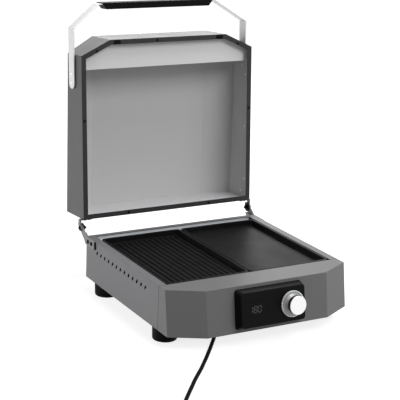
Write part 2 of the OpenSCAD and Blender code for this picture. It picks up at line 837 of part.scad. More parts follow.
// Front view of the lid at depth y, moved inwards by g, as a ring of points
function lid_ring(y, g) =
    let (hw = lid_half - g, s = mouth_z + side_h(y) - g * (1 - sin(facet_a)) / cos(facet_a),
        t = mouth_z + side_h(y) + facet_h - g, x = lid_half - facet_x - g * (1 - cos(facet_a)) / sin(facet_a))
    [[hw, y, mouth_z - 20], [hw, y, s], [x, y, t], [-x, y, t], [-hw, y, s], [-hw, y, mouth_z - 20]];

// Closed solid of the lid, moved inwards by g, from low upwards
module lid_form(g, low) {
    a = lid_y0 - 10;
    b = lid_y1 + 10;
    sides = [for (i = [0 : 5]) [i, (i + 1) % 6, 6 + (i + 1) % 6, 6 + i]];
    intersection() {
        translate([0, 0, low]) linear_extrude(lid_rear_h + 2 * facet_h)
            polygon(nosed(lid_half, lid_y0, lid_y1 - g, lid_nose_x, lid_nose_y, g));
        polyhedron(concat(lid_ring(a, g), lid_ring(b, g)),
            concat([[5, 4, 3, 2, 1, 0], [6, 7, 8, 9, 10, 11]], sides));
    }
}

module lid_shell() {
    color("#6b6b6c") opened() difference() {
        lid_form(0, mouth_z + lid_sheet);
        lid_form(lid_sheet, mouth_z - 5);
    }
}

module lid_liner() {
    color("#a8a9aa") opened() difference() {
        lid_form(liner_in, mouth_z + lid_sheet);
        lid_form(liner_in + liner_t, mouth_z - 5);
    }
}

module lid_frame() {
    color("#3a3a3b") opened() translate([0, 0, mouth_z]) difference() {
        linear_extrude(lid_sheet) polygon(nosed(lid_half, lid_y0, lid_y1, lid_nose_x, lid_nose_y, 0));
        translate([0, 0, -1]) linear_extrude(lid_sheet + 2)
            polygon(nosed(lid_half, lid_y0, lid_y1 - frame_w, lid_nose_x, lid_nose_y, frame_w));
    }
}

// Light sheet across the front of the lid, its rear edge turned up
module lid_baffle() {
    t = 1.2;
    y1 = lid_y0 + baffle_l;
    color("#c2c3c4") opened() intersection() {
        lid_form(liner_in + liner_t + gap, mouth_z + lid_sheet);
        union() {
            block([-lid_half, lid_y0, mouth_z + baffle_z], [lid_half, y1, mouth_z + baffle_z + t]);
            block([-lid_half, y1 - t, mouth_z + baffle_z], [lid_half, y1, mouth_z + baffle_z + 8]);
        }
    }
}

module lid_bumpers() {
    color("#0d0d0d") opened() mirrored() translate([lid_half * 0.6, lid_y0 + frame_w / 2, mouth_z])
        rotate([180, 0, 0]) linear_extrude(bumper_h - gap, scale = [0.94, 0.86])
            offset(r = frame_w / 2 - 0.3, $fn = 32) square([8, 0.2], center = true);
}

// Small screws that hold the frame
module frame_screws() {
    mid = frame_w / 2;
    corner = [lid_half - lid_nose_x * 0.54, lid_y0 + lid_nose_y * 0.73];
    side = [lid_half - mid, lid_y0 + lid_l * 0.44];
    rear = [lid_half * 0.48, lid_y1 - mid];
    front = [-lid_half * 0.14, lid_y0 + mid];
    color("#101010") opened() {
        mirrored() for (p = [corner, side, rear])
            translate([p[0], p[1], mouth_z]) rotate([180, 0, 0]) dome(3.6, 1.6);
        translate([front[0], front[1], mouth_z]) rotate([180, 0, 0]) dome(3.6, 1.6);
    }
}

// Rivets that hold the liner: five on each side, three at the rear
module lid_rivets() {
    g = liner_in + liner_t;
    side = [[0.2, 45], [0.25, 27.5], [0.56, 27.5], [0.88, 27.5], [0.96, 45]];
    color("#dadada") opened() {
        for (s = [-1, 1], p = side) translate([s * (lid_half - g), lid_y0 + p[0] * lid_l, mouth_z + p[1]])
            rotate([0, -s * 90, 0]) dome(2.8, 1.6);
        for (k = [-0.6, 0, 0.6]) translate([k * lid_half, lid_y1 - g, mouth_z + 12]) rotate([90, 0, 0])
            dome(2.8, 1.6);
    }
}

// Handle

module bar_piece(a, b) {
    hull() {
        translate(a) cylinder(r = bar_t / 2, h = bar_w, center = true, $fn = 24);
        translate(b) cylinder(r = bar_t / 2, h = bar_w, center = true, $fn = 24);
    }
}

module handle_bar() {
    z = mouth_z + bar_z;
    m = bar_t / 2;
    color("#dcdcdc") opened() mirrored() difference() {
        union() {
            block([bar_in, bar_y0, z - bar_w / 2], [bar_out, bar_y1 - bar_w / 2, z + bar_w / 2]);
            rod_x(bar_in, bar_out, bar_w / 2, bar_y1 - bar_w / 2, z);
            bar_piece([bar_in + m, bar_y0, z], [grip_half, grip_y + m, grip_z]);
            bar_piece([grip_half, grip_y + m, grip_z], [0, grip_y + m, grip_z]);
        }
        for (y = bar_screw_ys) rod_x(bar_in - 1, bar_out + 1, screw_r + run_clear, y, z);
    }
}

// Moulded grip round the bar's front, ends cut on the slant
module handle_grip() {
    out = 2;
    deep = 17;
    half = grip_half - 8;
    h = bar_w + 6;
    color("#0b0b0b") opened() translate([0, grip_y - out, grip_z - h / 2]) difference() {
        hull() {
            translate([0, 0, 1.5]) linear_extrude(h - 3)
                polygon([[-half, 0], [half, 0], [half - 14, deep], [-half + 14, deep]]);
            linear_extrude(h) polygon([[-half + 3, 1.5], [half - 3, 1.5], [half - 16, deep - 1.5],
                [-half + 16, deep - 1.5]]);
        }
        translate([-half - 5, out - 0.1, (h - bar_w) / 2 - 0.1]) cube([2 * half + 10, bar_t + 0.2, bar_w + 0.2]);
    }
}

module handle_screws() {
    color("#c9c9c9") opened() mirrored() for (y = bar_screw_ys) {
        rod_x(lid_half, bar_in, screw_r + 3, y, mouth_z + bar_z);
        rod_x(lid_half, bar_out, screw_r, y, mouth_z + bar_z);
        translate([bar_out, y, mouth_z + bar_z]) rotate([0, 90, 0]) dome(4.6, 2.4);
    }
}

// Mains cord

lead_dir = lead_points[1] - lead_points[0];
lead_a = atan2(lead_dir[1], lead_dir[0]);
gland_l = 32;

// Clamp block on the bottom cover with a tapered, ribbed strain relief
module cord_gland() {
    p = lead_points[0];
    color("#111111") translate(p) rotate([0, 0, lead_a]) {
        translate([-gland_l - 24, -13, -9]) cube([26, 26, zb - p[2] + 9]);
        rotate([0, -90, 0]) rotate_extrude($fn = 32) polygon(concat([[0, 0], [cord_r + 1.2, 0]],
            [for (i = [0 : 5]) each [[cord_r + 1.6 + i * 0.6, i * 5 + 1], [cord_r + 2.1 + i * 0.6, i * 5 + 3],
                [cord_r + 1.4 + i * 0.6, i * 5 + 4]]],
            [[cord_r + 5, gland_l], [0, gland_l]]));
    }
}

// Unit direction of a route at point i
function heading(p, i) =
    let (a = p[max(i - 1, 0)], b = p[min(i + 1, len(p) - 1)]) (b - a) / norm(b - a);

// Ring of n points round a route's point, square to direction d
function ring(c, d, r, n) =
    let (u = cross([0, 0, 1], d) / norm(cross([0, 0, 1], d)), v = cross(d, u))
    [for (k = [0 : n - 1]) c + r * (cos(k * 360 / n) * u + sin(k * 360 / n) * v)];

// Tube along route p with n sides
module tube(p, r, n) {
    last = len(p) - 1;
    points = [for (i = [0 : last]) each ring(p[i], heading(p, i), r, n)];
    walls = [for (i = [0 : last - 1], k = [0 : n - 1]) let (a = i * n + k, b = i * n + (k + 1) % n)
        each [[a, b, b + n], [a, b + n, a + n]]];
    start = [for (k = [1 : n - 2]) [0, k + 1, k]];
    finish = [for (k = [1 : n - 2]) [last * n, last * n + k, last * n + k + 1]];
    polyhedron(concat(points), concat([for (f = walls) [f[0], f[2], f[1]]],
        [for (f = start) [f[0], f[2], f[1]]], [for (f = finish) [f[0], f[2], f[1]]]));
}

module cord_lead() {
    color("#131313") tube(lead_points, cord_r, lead_sides);
}

// Radius and height of the winding t turns from its outer end
function wind_r(t) =
    let (mid = coil_turns / 2, inner = coil_mid_r - coil_layer_turns * coil_pitch / 2 - coil_pitch / 4)
    inner + abs(t - mid) * coil_pitch;
function ease(s) = s <= 0 ? 0 : s >= 1 ? 1 : s * s * (3 - 2 * s);
function wind_z(t) = coil_z + coil_rise * ease((t - coil_layer_turns) / 0.5);
function wind(t) =
    let (a = coil_start_a + 360 * t)
    [coil_centre[0] + wind_r(t) * cos(a), coil_centre[1] + wind_r(t) * sin(a), wind_z(t)];

function turn_dir(a) = [cos(a), sin(a), 0];
lead_end = lead_points[len(lead_points) - 1];
coil_centre = lead_end + cord_d * turn_dir(coil_start_a + 90) - wind_r(0) * turn_dir(coil_start_a);
coil_end = wind(coil_turns);
tail_a = coil_start_a + 360 * coil_turns + 90;
tail_dir = turn_dir(tail_a);
tail_end = [coil_end[0] + tail_l * tail_dir[0], coil_end[1] + tail_l * tail_dir[1], plug_r];
coil_last = round(coil_turns * coil_steps);
coil_points = concat(
    [lead_end],
    [for (i = [0 : coil_last]) wind(i / coil_steps)],
    [for (s = [0.3, 0.6, 0.85, 1]) let (e = coil_end + s * tail_l * tail_dir)
        [e[0], e[1], coil_end[2] + (tail_end[2] - coil_end[2]) * ease(s / 0.85)]]);

// Least gap of the winding to itself, between points half a turn or more apart
coil_gap = min([for (i = [0 : len(coil_points) - 1], j = [i + coil_steps / 2 : 1 : len(coil_points) - 1])
    norm(coil_points[i] - coil_points[j])]) - cord_d;
echo(coil_gap = coil_gap);
function path_len(p) = [for (i = [1 : len(p) - 1]) norm(p[i] - p[i - 1])] * [for (i = [1 : len(p) - 1]) 1];
echo(cord_length = path_len(lead_points) + path_len(coil_points));

module cord_coil() {
    color("#131313") tube(coil_points, cord_r, coil_sides);
}

// Two-pin plug lying on its side
module plug() {
    pin_r = 2.4;
    pin_l = 19;
    pin_x = 9.5;
    relief = 18;
    body = 34;
    color("#161616") translate(tail_end) rotate([0, 0, tail_a]) rotate([0, 90, 0]) {
        rotate_extrude($fn = 48) polygon([[0, 0], [cord_r + 1, 0], [cord_r + 2.5, relief], [11, relief + 2],
            [plug_r - 3, relief + 12], [plug_r, relief + 16], [plug_r, relief + body - 1],
            [plug_r - 1, relief + body], [0, relief + body]]);
        for (s = [-1, 1]) translate([0, s * pin_x, relief + body]) {
            cylinder(r = pin_r, h = pin_l - 2);
            translate([0, 0, pin_l - 2]) cylinder(r1 = pin_r, r2 = pin_r - 1, h = 2);
        }
    }
}

base_shell();
front_fascia();
bottom_cover();
feet();
foot_screws();
element_pan();
centre_rail();
pan_rivets();
heating_element_left();
heating_element_right();
element_clips();
element_terminals();
temperature_probe();
plate_left();
plate_right();
tray_rails();
drip_tray();
power_board();
terminal_block();
control_panel();
display_window();
control_board();
encoder_body();
encoder_plunger();
knob_shaft();
knob();
knob_cap();
hinge_arm_left();
hinge_arm_right();
arm_screws();
hinge_bolts();
hinge_washers();
hinge_nuts();
lid_leaf_left();
lid_leaf_right();
leaf_screws();
lid_shell();
lid_liner();
lid_frame();
lid_baffle();
lid_bumpers();
frame_screws();
lid_rivets();
handle_bar();
handle_grip();
handle_screws();
cord_gland();
cord_lead();
cord_coil();
plug();
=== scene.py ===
"""Electric indoor grill with its lid open: the looks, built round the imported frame."""
import math

import bmesh
import bpy
from mathutils import Matrix, Vector


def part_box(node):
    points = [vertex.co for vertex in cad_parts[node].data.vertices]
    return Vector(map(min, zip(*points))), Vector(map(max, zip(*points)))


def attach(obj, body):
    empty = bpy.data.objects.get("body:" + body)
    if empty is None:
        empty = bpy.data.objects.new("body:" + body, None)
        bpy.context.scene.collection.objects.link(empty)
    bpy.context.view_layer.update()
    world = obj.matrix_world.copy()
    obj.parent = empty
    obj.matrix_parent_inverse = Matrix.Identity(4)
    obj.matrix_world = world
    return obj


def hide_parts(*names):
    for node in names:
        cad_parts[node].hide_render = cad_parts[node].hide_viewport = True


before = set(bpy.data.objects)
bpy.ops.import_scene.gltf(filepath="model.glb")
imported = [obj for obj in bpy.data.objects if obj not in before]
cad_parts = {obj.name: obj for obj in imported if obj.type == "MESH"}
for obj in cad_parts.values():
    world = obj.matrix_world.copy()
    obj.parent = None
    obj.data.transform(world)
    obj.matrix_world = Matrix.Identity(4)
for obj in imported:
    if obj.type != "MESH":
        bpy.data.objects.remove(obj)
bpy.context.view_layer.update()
MM = 0.001


# Places taken from the frame, in millimetres

def low(node):
    return Vector(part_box(node)[0]) / MM


def high(node):
    return Vector(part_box(node)[1]) / MM


BASE_TOP = high("base_shell").z
BASE_BOTTOM = low("base_shell").z
FRONT_LEAN_MM = 18
FRONT_LOW_Y = low("front_fascia").y
LEAN = math.atan(FRONT_LEAN_MM / (BASE_TOP - BASE_BOTTOM))
FRONT_MID = (BASE_TOP - BASE_BOTTOM) / math.cos(LEAN) / 2
FRONT_OUT = Vector((0, -math.cos(LEAN), math.sin(LEAN)))
KNOB_X = (low("knob").x + high("knob").x) / 2
DISPLAY_X = -KNOB_X
PANEL_OUT = 24
# The pan's flange reaches past its walls; its outside starts within the sheet
PAN_FLANGE = 6
PAN_HALF = (high("element_pan").x - low("element_pan").x) / 2 - PAN_FLANGE
PAN_SKIN = 0.7
# How far under the shell's outer faces its painted shade starts
COAT_DEPTH = 0.05


def front_point(x, up, out):
    """A point on the sloping front: x across, up the slope from the lower edge, out of it."""
    y = FRONT_LOW_Y + up * math.sin(LEAN) - out * math.cos(LEAN)
    z = BASE_BOTTOM + up * math.cos(LEAN) + out * math.sin(LEAN)
    return Vector((x, y, z))


# Helpers

def paint(hex_colour):
    """sRGB hex to a linear colour with alpha."""
    parts = [int(hex_colour[i:i + 2], 16) / 255 for i in (1, 3, 5)]
    return [c / 12.92 if c <= 0.04045 else ((c + 0.055) / 1.055) ** 2.4 for c in parts] + [1.0]


def add(tree, kind, inputs=None, **settings):
    """Adds a node, sets its properties and sockets, and links sockets given as outputs."""
    made = tree.nodes.new(kind)
    for name, value in settings.items():
        setattr(made, name, value)
    for key, value in (inputs or {}).items():
        if isinstance(value, bpy.types.NodeSocket):
            tree.links.new(value, made.inputs[key])
        else:
            made.inputs[key].default_value = value
    return made


def new_material(name, colour, **surface):
    """A named material and its shader, with plain values on the shader's own sockets."""
    made = bpy.data.materials.new(name)
    made.use_nodes = True
    tree = made.node_tree
    shader = tree.nodes["Principled BSDF"]
    shader.inputs["Base Color"].default_value = paint(colour)
    for key, value in surface.items():
        shader.inputs[key.replace("_", " ")].default_value = value
    return made, tree, shader


def place_on(made, body):
    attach(made, body)
    return made


def closed_mesh(name, verts, faces):
    """A closed mesh from millimetres, its faces turned outwards."""
    mesh = bpy.data.meshes.new(name)
    mesh.from_pydata([Vector(v) * MM for v in verts], [], faces)
    tidy = bmesh.new()
    tidy.from_mesh(mesh)
    bmesh.ops.recalc_face_normals(tidy, faces=tidy.faces)
    tidy.to_mesh(mesh)
    tidy.free()
    return mesh


def mesh_piece(name, verts, faces, material, body):
    """A closed piece in millimetres that rides on a body."""
    mesh = closed_mesh(name, verts, faces)
    mesh.materials.append(material)
    made = bpy.data.objects.new(name, mesh)
    bpy.context.collection.objects.link(made)
    return place_on(made, body)


# Camera, at the photograph's place

CAMERA_AT = (-1577.0, -2692.55, 1181.7)
CAMERA_YAW = 29.91
CAMERA_PITCH = 16.39
CAMERA_ROLL = 2.37
LENS = 116.55

lens = bpy.data.cameras.new("camera")
lens.lens = LENS
lens.sensor_width = 36
lens.sensor_fit = "HORIZONTAL"
lens.clip_end = 50
camera = bpy.data.objects.new("camera", lens)
bpy.context.collection.objects.link(camera)
camera.matrix_world = (
    Matrix.Translation(Vector(CAMERA_AT) * MM)
    @ Matrix.Rotation(math.radians(-CAMERA_YAW), 4, "Z")
    @ Matrix.Rotation(math.radians(90 - CAMERA_PITCH), 4, "X")
    @ Matrix.Rotation(math.radians(CAMERA_ROLL), 4, "Z")
)
bpy.context.scene.camera = camera


# Finishes

def shades(colour, swing):
    """The colour a little darker and a little lighter."""
    base = paint(colour)
    return [c * (1 - swing) for c in base[:3]] + [1], [min(1, c * (1 + swing)) for c in base[:3]] + [1]


def vary(tree, shader, amount, colour, swing, rough, rough_swing):
    """Colour and roughness follow a pattern that runs about from 0.3 to 0.7."""
    dark, light = shades(colour, swing)
    tone = add(tree, "ShaderNodeMix", {0: amount, 6: dark, 7: light}, data_type="RGBA")
    tree.links.new(tone.outputs[2], shader.inputs["Base Color"])
    spread = add(tree, "ShaderNodeMapRange", {
        "Value": amount, "From Min": 0.3, "From Max": 0.7,
        "To Min": rough - rough_swing, "To Max": rough + rough_swing})
    tree.links.new(spread.outputs[0], shader.inputs["Roughness"])


# Width of the clouds in a coat, and length of the drift of tone along a sheet
CLOUD_MM = 90
DRIFT_MM = 80


def grained(name, colour, grain_mm, swing, rough, rough_swing, bump_mm, edge_mm=0.0, **surface):
    """Sprayed, cast or moulded skin: a fine grain, wide faint clouds, and softened edges."""
    made, tree, shader = new_material(name, colour, **surface)
    place = add(tree, "ShaderNodeTexCoord").outputs["Object"]
    grain = add(tree, "ShaderNodeTexNoise", {"Vector": place, "Scale": 1 / (grain_mm * MM), "Detail": 3.0})
    cloud = add(tree, "ShaderNodeTexNoise", {"Vector": place, "Scale": 1 / (CLOUD_MM * MM), "Detail": 2.0})
    both = add(tree, "ShaderNodeMath", {0: grain.outputs["Fac"], 1: cloud.outputs["Fac"]}, operation="ADD")
    half = add(tree, "ShaderNodeMath", {0: both.outputs[0], 1: 0.5}, operation="MULTIPLY")
    vary(tree, shader, half.outputs[0], colour, swing, rough, rough_swing)
    bump = add(tree, "ShaderNodeBump", {"Height": grain.outputs["Fac"], "Distance": bump_mm * MM})
    if edge_mm:
        soft = add(tree, "ShaderNodeBevel", {"Radius": edge_mm * MM}, samples=4)
        tree.links.new(soft.outputs[0], bump.inputs["Normal"])
    tree.links.new(bump.outputs[0], shader.inputs["Normal"])
    return made


def streaked(name, colour, along, streak_mm, swing, rough, rough_swing, bump_mm, **surface):
    """Rolled or ground sheet: fine streaks along one axis, with a slow drift of tone."""
    made, tree, shader = new_material(name, colour, **surface)
    place = add(tree, "ShaderNodeTexCoord").outputs["Object"]
    scale = [1 / (streak_mm * MM)] * 3
    scale[along] = 1 / (DRIFT_MM * MM)
    turn = add(tree, "ShaderNodeMapping", {"Vector": place, "Scale": scale})
    streak = add(tree, "ShaderNodeTexNoise", {"Vector": turn.outputs[0], "Scale": 1.0, "Detail": 4.0})
    vary(tree, shader, streak.outputs["Fac"], colour, swing, rough, rough_swing)
    bump = add(tree, "ShaderNodeBump", {"Height": streak.outputs["Fac"], "Distance": bump_mm * MM})
    tree.links.new(bump.outputs[0], shader.inputs["Normal"])
    return made


def coat_where(made, mask, colour):
    """A second colour over the first wherever mask(tree, x y z of the place) gives 1."""
    tree = made.node_tree
    base = tree.nodes["Principled BSDF"].inputs["Base Color"]
    first = base.links[0].from_socket
    place = add(tree, "ShaderNodeTexCoord").outputs["Object"]
    split = add(tree, "ShaderNodeSeparateXYZ", {0: place})
    mix = add(tree, "ShaderNodeMix", {0: mask(tree, split.outputs), 6: first, 7: paint(colour)},
              data_type="RGBA")
    tree.links.new(mix.outputs[2], base)
    return made


def shade_painted_outside(made, dark_colour):
    """Painted shade on the outer side of the pan, told from the bright inside by its distance from the
    middle.
    """
    def mask(tree, place):
        across = add(tree, "ShaderNodeMath", {0: place[0]}, operation="ABSOLUTE")
        return add(tree, "ShaderNodeMath", {0: across.outputs[0], 1: (PAN_HALF - PAN_SKIN) * MM},
                   operation="GREATER_THAN").outputs[0]

    return coat_where(made, mask, dark_colour)


def shade_painted_inside(made, node, dark_colour):
    """Painted shade: a near-black colour on every face that doesn't lie on the outer faces of the node's
    box.
    """
    outer_faces = ((0, 1, high(node).x), (0, -1, low(node).x), (1, 1, high(node).y),
                   (2, 1, high(node).z), (2, -1, low(node).z))

    def mask(tree, place):
        inside = 1.0
        for axis, sign, end in outer_faces:
            depth = add(tree, "ShaderNodeMath", {0: place[axis], 1: sign, 2: -sign * end * MM},
                        operation="MULTIPLY_ADD")
            under = add(tree, "ShaderNodeMath", {0: depth.outputs[0], 1: -COAT_DEPTH * MM},
                        operation="LESS_THAN")
            inside = add(tree, "ShaderNodeMath", {0: under.outputs[0], 1: inside},
                         operation="MULTIPLY").outputs[0]
        return inside

    return coat_where(made, mask, dark_colour)


# Turning marks, drawn this far apart so that they show
TURNING_MM = 0.9
TURNING_SWING = 0.12


def turned(name, colour, axis_at, painted_side_light, **surface):
    """Metal turned on a lathe: rings round the knob's axis, and painted light on the side, whose colour
    stands in for the highlight or dark reflection seen there.
    """
    made, tree, shader = new_material(name, colour, **surface)
    place = add(tree, "ShaderNodeTexCoord").outputs["Object"]
    # Local frame of the knob: its axis becomes Z
    centred = add(tree, "ShaderNodeVectorMath", {0: place, 1: tuple(-Vector(axis_at) * MM)}, operation="ADD")
    turn = add(tree, "ShaderNodeMapping", {"Vector": centred.outputs[0],
                                           "Rotation": (LEAN - math.pi / 2, 0, 0)})
    split = add(tree, "ShaderNodeSeparateXYZ", {0: turn.outputs[0]})
    flat = add(tree, "ShaderNodeCombineXYZ", {0: split.outputs[0], 1: split.outputs[1]})
    reach = add(tree, "ShaderNodeVectorMath", {0: flat.outputs[0]}, operation="LENGTH")
    marks = add(tree, "ShaderNodeTexNoise", {"Scale": 1 / (TURNING_MM * MM), "Detail": 3.0},
                noise_dimensions="1D")
    tree.links.new(reach.outputs["Value"], marks.inputs["W"])
    dark, light = shades(colour, TURNING_SWING)
    tone = add(tree, "ShaderNodeMix", {0: marks.outputs["Fac"], 6: dark, 7: light}, data_type="RGBA")
    # Painted light: faces turned away from the front take the side colour
    facing = add(tree, "ShaderNodeNewGeometry")
    lined = add(tree, "ShaderNodeVectorMath", {0: facing.outputs["Normal"], 1: tuple(FRONT_OUT)},
                operation="DOT_PRODUCT")
    side = add(tree, "ShaderNodeMapRange", {"Value": lined.outputs["Value"], "From Min": 0.15,
                                            "From Max": 0.6, "To Min": 1.0, "To Max": 0.0})
    mix = add(tree, "ShaderNodeMix", {0: side.outputs[0], 6: tone.outputs[2], 7: paint(painted_side_light)},
              data_type="RGBA")
    tree.links.new(mix.outputs[2], shader.inputs["Base Color"])
    bump = add(tree, "ShaderNodeBump", {"Height": marks.outputs["Fac"], "Distance": 0.02 * MM})
    tree.links.new(bump.outputs[0], shader.inputs["Normal"])
    return made


KNOB_AT = front_point(KNOB_X, FRONT_MID, PANEL_OUT)

# Powder coat on folded steel: satin grey with faint orange peel, grain drawn coarse so that it shows
# Its inside faces are painted near-black as shade
powder_coat = shade_painted_inside(grained("grey_powder_coat", "#6c6c6e", 2.0, 0.05, 0.45, 0.05, 0.02, 1.2,
                                   Specular_IOR_Level=0.25), "base_shell", "#0a0a0a")
# The lid's coat: the same powder coat, its colour darker as painted shade
lid_coat_painted_shade = grained("lid_powder_coat_painted_shade", "#4b4b4d", 2.0, 0.05, 0.45, 0.05, 0.02, 1.2, Specular_IOR_Level=0.25)
# The same coat on the folded front, its colour a touch darker as painted shade
fascia_coat_painted_shade = grained("front_powder_coat_painted_shade", "#6a6a6b", 2.0, 0.05, 0.45, 0.05, 0.02, 1.5,
                      Specular_IOR_Level=0.25)
# Dark paint on the lid's frame: nearly matt
frame_paint = grained("dark_frame_paint", "#333334", 1.5, 0.06, 0.55, 0.05, 0.01, 0.8,
                      Specular_IOR_Level=0.15)
# Dark paint on the zinc sheet of the bottom cover
cover_paint = grained("bottom_cover_paint", "#47484a", 2.5, 0.05, 0.5, 0.06, 0.02)
# Rolled aluminised sheet inside the lid: dull silver with faint rolling lines
liner_sheet = streaked("rolled_liner_sheet", "#cacacb", 0, 1.6, 0.04, 0.5, 0.05, 0.01,
                       Specular_IOR_Level=0.15)
# Plain bright sheet of the baffle
baffle_sheet = streaked("rolled_baffle_sheet", "#e0e0e1", 0, 1.6, 0.03, 0.5, 0.05, 0.01,
                        Specular_IOR_Level=0.15)
# Aluminised steel of the pan: bright inside, with near-black painted shade on its outer side
pan_sheet = shade_painted_outside(streaked("aluminised_pan_sheet", "#b4b6b8", 0, 1.4, 0.07, 0.4, 0.08, 0.01,
                                      Metallic=0.7), "#0c0c0d")
# Galvanised rails and clips
rail_zinc = grained("galvanised_steel", "#8f9193", 4.0, 0.1, 0.4, 0.08, 0.02, Metallic=0.6)
# Non-stick coat sprayed on a casting: black, low sheen, fine grit
nonstick = grained("nonstick_coat", "#0b0b0c", 1.2, 0.25, 0.5, 0.08, 0.05, 1.0, Specular_IOR_Level=0.12)
# Element tube darkened by heat
element_tube = grained("heat_darkened_tube", "#3a3532", 3.0, 0.2, 0.45, 0.1, 0.02, Metallic=0.7)
# Bright nickel plate on the foot and handle screws
nickel = grained("nickel_plate", "#e6e6e6", 1.0, 0.03, 0.35, 0.05, 0.004, Metallic=0.5)
# Soft-aluminium rivets of the liner, painted near-white as glints
rivets_painted_glint = grained("aluminium_rivets_painted_glint", "#fafafa", 1.0, 0.02, 0.35, 0.05, 0.004, Metallic=0.15)
# Black oxide on small steel parts; its black also serves as painted shade for the blocks at the arm ends and
# the sheets behind the rear slots
black_oxide = grained("black_oxide", "#060606", 0.8, 0.1, 0.55, 0.08, 0.01, Specular_IOR_Level=0.08)
# Grey paint on the stamped hinge plates
hinge_paint = grained("hinge_plate_paint", "#757577", 1.5, 0.06, 0.42, 0.05, 0.02, 0.8,
                      Specular_IOR_Level=0.35)
# Spark-eroded ABS of the panel: black, fine satin
panel_abs = grained("spark_eroded_abs", "#0f0f10", 0.8, 0.08, 0.4, 0.05, 0.01, 1.6, Specular_IOR_Level=0.05)
# Smoked acrylic window, flush and as dark as the panel round it
window_acrylic = grained("smoked_acrylic", "#0f0f10", 6.0, 0.04, 0.35, 0.02, 0.0005, Specular_IOR_Level=0.05)
# Moulded nylon of the electrical parts
inner_nylon = grained("moulded_nylon", "#2b2d30", 0.8, 0.08, 0.55, 0.05, 0.01)
# Solder mask on glass laminate
board_mask = grained("solder_mask", "#2f5d3a", 0.9, 0.08, 0.35, 0.05, 0.004)
# Glazed steatite of terminals
steatite = grained("glazed_steatite", "#d8d2c6", 0.9, 0.03, 0.4, 0.05, 0.004)
# Turned aluminium of the knob: fine rings, and a painted highlight on the lighter side
turned_aluminium = turned("turned_aluminium", "#838486", KNOB_AT, "#c9cacb", Metallic=0.6, Roughness=0.34)
# Marks scored round the skirt, painted near-white as glints
glint_score = grained("score_marks_painted_glint", "#fcfcfc", 0.8, 0.02, 0.35, 0.04, 0.002, Metallic=0.1)
# Spun cap: near-white face, and a painted dark reflection on its side
spun_cap = turned("spun_cap", "#eaeaea", KNOB_AT, "#1c1c1d", Metallic=0.6, Roughness=0.34)
# Ground stainless flat bar of the handle
bar_steel = streaked("ground_stainless", "#cfcfcf", 0, 1.2, 0.04, 0.38, 0.06, 0.01, Metallic=0.5)
# Phenolic grip: black and matt
grip_phenolic = grained("moulded_phenolic", "#050505", 1.0, 0.15, 0.5, 0.06, 0.02, 1.2,
                        Specular_IOR_Level=0.06)
# Moulded rubber of the feet and bumpers
foot_rubber = grained("moulded_rubber", "#050505", 1.2, 0.15, 0.6, 0.08, 0.03, 1.0, Specular_IOR_Level=0.06)
# Rubber sheath of the mains cord: smooth and matt
sheath_rubber = grained("sheath_rubber", "#050505", 2.0, 0.12, 0.55, 0.06, 0.02, Specular_IOR_Level=0.05)

FINISHES = {
    powder_coat: ["base_shell"],
    lid_coat_painted_shade: ["lid_shell"],
    fascia_coat_painted_shade: ["front_fascia"],
    cover_paint: ["bottom_cover"],
    foot_rubber: ["feet", "lid_bumpers", "cord_gland", "plug"],
    pan_sheet: ["element_pan"],
    rail_zinc: ["centre_rail", "element_clips", "temperature_probe", "tray_rails", "drip_tray"],
    nickel: ["foot_screws", "handle_screws"],
    rivets_painted_glint: ["pan_rivets", "lid_rivets"],
    element_tube: ["heating_element_left", "heating_element_right"],
    steatite: ["element_terminals", "terminal_block"],
    nonstick: ["plate_left", "plate_right"],
    board_mask: ["power_board", "control_board"],
    panel_abs: ["control_panel"],
    window_acrylic: ["display_window"],
    inner_nylon: ["encoder_body"],
    turned_aluminium: ["encoder_plunger", "knob_shaft", "knob"],
    spun_cap: ["knob_cap"],
    hinge_paint: ["hinge_arm_left", "hinge_arm_right", "lid_leaf_left", "lid_leaf_right"],
    black_oxide: ["arm_screws", "hinge_bolts", "hinge_washers", "hinge_nuts", "leaf_screws", "frame_screws"],
    liner_sheet: ["lid_liner"],
    frame_paint: ["lid_frame"],
    baffle_sheet: ["lid_baffle"],
    bar_steel: ["handle_bar"],
    grip_phenolic: ["handle_grip"],
}
for finish, nodes in FINISHES.items():
    for node in nodes:
        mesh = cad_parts[node].data
        mesh.materials.clear()
        mesh.materials.append(finish)


# Mains cord: the same route and coil as in the frame's source, in millimetres

CORD_D = 9
LEAD = [
    (0, -97, 23), (-13, -113, 23), (-32, -137, 20), (-51, -161, 15), (-71, -186, 10),
    (-91, -212, 6.5), (-112, -241, 4.6), (-131, -265, 4.6), (-150, -290, 4.6), (-170, -315, 4.6),
    (-190, -340, 4.6), (-210, -364, 4.6), (-230, -388, 4.6), (-248, -408, 4.6), (-265, -427, 4.6),
    (-279, -443, 4.6), (-291, -458, 4.6), (-302, -471, 4.6), (-312, -483, 4.6), (-326, -500, 4.6),
    (-339, -516, 4.6), (-351, -532, 4.6), (-362, -548, 4.6), (-371.5, -563, 4.6), (-379, -576, 4.6),
    (-386.5, -589, 4.6),
]
COIL_MID_R = 54
LAYER_TURNS = 1.375
COIL_PITCH = 9.6
COIL_RISE = 9.6
COIL_START = 150
COIL_TURNS = 2 * LAYER_TURNS + 0.5
COIL_STEPS = 48
TAIL = 60
PLUG_R = 18


def turn_dir(degrees):
    return Vector((math.cos(math.radians(degrees)), math.sin(math.radians(degrees)), 0))


def ease(s):
    s = min(max(s, 0), 1)
    return s * s * (3 - 2 * s)


def wind_r(t):
    inner = COIL_MID_R - LAYER_TURNS * COIL_PITCH / 2 - COIL_PITCH / 4
    return inner + abs(t - COIL_TURNS / 2) * COIL_PITCH


lead_end = Vector(LEAD[-1])
coil_centre = lead_end + CORD_D * turn_dir(COIL_START + 90) - wind_r(0) * turn_dir(COIL_START)


def wind(t):
    flat = coil_centre + wind_r(t) * turn_dir(COIL_START + 360 * t)
    return Vector((flat.x, flat.y, lead_end.z + COIL_RISE * ease((t - LAYER_TURNS) / 0.5)))


